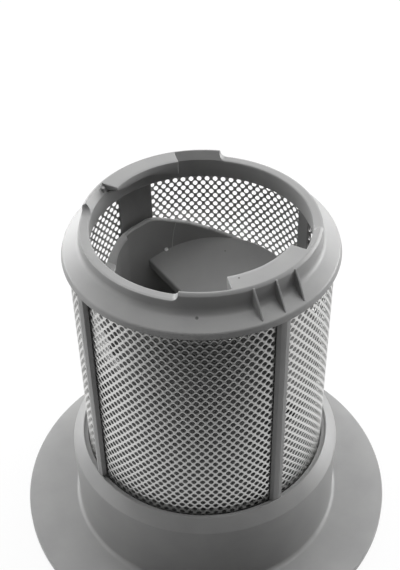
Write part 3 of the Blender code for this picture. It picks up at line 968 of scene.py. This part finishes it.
# White to the camera; on the object, a soft glow that comes from behind it
def make_world():
    world = bpy.data.worlds.new("studio")
    world.use_nodes = True
    bpy.context.scene.world = world
    tree = world.node_tree
    glow = tree.nodes["Background"]
    glow.inputs["Color"].default_value = WHITE
    direction = add_node(tree, "ShaderNodeTexCoord")
    split = add_node(tree, "ShaderNodeSeparateXYZ")
    tree.links.new(direction.outputs["Generated"], split.inputs["Vector"])
    backwards = math_node(tree, "MAXIMUM", split.outputs["Y"], 0.0)
    strength = math_node(tree, "MULTIPLY", backwards, WORLD_LIGHT)
    tree.links.new(strength, glow.inputs["Strength"])
    white = add_node(tree, "ShaderNodeBackground", Color=WHITE, Strength=1.0)
    path = add_node(tree, "ShaderNodeLightPath")
    mix = add_node(tree, "ShaderNodeMixShader")
    tree.links.new(path.outputs["Is Camera Ray"], mix.inputs["Fac"])
    tree.links.new(glow.outputs["Background"], mix.inputs[1])
    tree.links.new(white.outputs["Background"], mix.inputs[2])
    tree.links.new(mix.outputs["Shader"], tree.nodes["World Output"].inputs["Surface"])


# How white the floor looks to glossy rays: from behind the object, and not right under it
def floor_gloss(tree):
    place = add_node(tree, "ShaderNodeTexCoord").outputs["Object"]
    split = add_node(tree, "ShaderNodeSeparateXYZ")
    tree.links.new(place, split.inputs["Vector"])
    along = (FLOOR_GLOSS_FROM * MM, FLOOR_GLOSS_TO * MM)
    behind = map_range(tree, split.outputs["Y"], along, (0.0, 1.0))
    out = add_node(tree, "ShaderNodeVectorMath")
    out.operation = "LENGTH"
    tree.links.new(place, out.inputs[0])
    reach = (FLOOR_DARK_TO * MM, FLOOR_CLEAR_FROM * MM)
    clear = map_range(tree, out.outputs["Value"], reach, (0.0, 1.0))
    return math_node(tree, "MULTIPLY", behind, clear)


# Grey that takes the shadow, mixed with white for the camera and for glossy surfaces
def floor_material():
    material, tree, shader = new_material("floor_white")
    shader.inputs["Roughness"].default_value = FLOOR_ROUGHNESS
    path = add_node(tree, "ShaderNodeLightPath")
    seen = path.outputs["Is Camera Ray"]
    mirrored = path.outputs["Is Glossy Ray"]
    lighter = math_node(tree, "MULTIPLY", seen, FLOOR_SHADE_SEEN - FLOOR_SHADE)
    grey = math_node(tree, "ADD", lighter, FLOOR_SHADE)
    tree.links.new(grey, shader.inputs["Base Color"])
    in_gloss = math_node(tree, "MULTIPLY", mirrored, floor_gloss(tree))
    shine = add_node(tree, "ShaderNodeEmission")
    tree.links.new(math_node(tree, "ADD", in_gloss, seen), shine.inputs["Strength"])
    white = math_node(tree, "MULTIPLY", seen, FLOOR_WHITE)
    mix = add_node(tree, "ShaderNodeMixShader")
    tree.links.new(math_node(tree, "ADD", white, mirrored), mix.inputs["Fac"])
    tree.links.new(shader.outputs["BSDF"], mix.inputs[1])
    tree.links.new(shine.outputs["Emission"], mix.inputs[2])
    tree.links.new(mix.outputs["Shader"], tree.nodes["Material Output"].inputs["Surface"])
    return material


def make_floor():
    mesh = bpy.data.meshes.new("floor")
    side = FLOOR_HALF_SIDE * MM
    mesh.from_pydata([(-side, -side, 0.0), (side, -side, 0.0), (side, side, 0.0),
                      (-side, side, 0.0)], [], [(0, 1, 2, 3)])
    floor = link(mesh, "floor")
    mesh.materials.append(floor_material())


def make_filter():
    grey = plastic("grey_plastic_look", FRAME_GREY, FRAME_ROUGHNESS, FRAME_MARKS)
    dark = plastic("dark_plastic_look", CUP_GREY, CUP_ROUGHNESS, CUP_MARKS)
    # Paler plastic that paints the highlight on the lip's top
    pale = plastic("lip_painted_highlight_look", LIP_HIGHLIGHT_GREY, LIP_ROUGHNESS)
    metal = steel("sheet_steel_look")
    post_bearings = [POST_BEARING + i * FULL_TURN / POST_COUNT for i in range(POST_COUNT)]
    frame_pieces = [make_neck(), make_base(), make_stop()]
    frame_pieces += [make_rib(i) for i in range(RIB_COUNT)]
    frame_pieces += [make_outer_post(i, bearing) for i, bearing in enumerate(post_bearings)]
    frame_pieces += [make_inner_post(i, bearing) for i, bearing in enumerate(post_bearings)]
    for piece in frame_pieces:
        finish_piece(piece, "filter_frame", grey)
    for index in range(PANELS):
        finish_piece(make_panel(index), "perforated_sleeve", metal)
    for piece in (make_cup_wall(), make_cup_floor()):
        finish_piece(piece, "inner_cup", dark)
    # The lip's skin takes the painted highlight; the weld line takes the same paler grey as a light
    # line
    for piece in (make_cup_lip(), make_weld_line()):
        finish_piece(piece, "inner_cup", pale)


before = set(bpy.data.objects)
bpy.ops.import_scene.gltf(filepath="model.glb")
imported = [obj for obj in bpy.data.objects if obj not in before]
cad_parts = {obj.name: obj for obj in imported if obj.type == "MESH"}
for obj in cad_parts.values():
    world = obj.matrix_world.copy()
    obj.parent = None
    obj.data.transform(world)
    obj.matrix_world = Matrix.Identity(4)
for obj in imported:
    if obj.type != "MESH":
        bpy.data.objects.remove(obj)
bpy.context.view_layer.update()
bpy.context.scene.view_settings.view_transform = "Standard"
make_filter()
make_camera()
make_lights()
make_world()
make_floor()
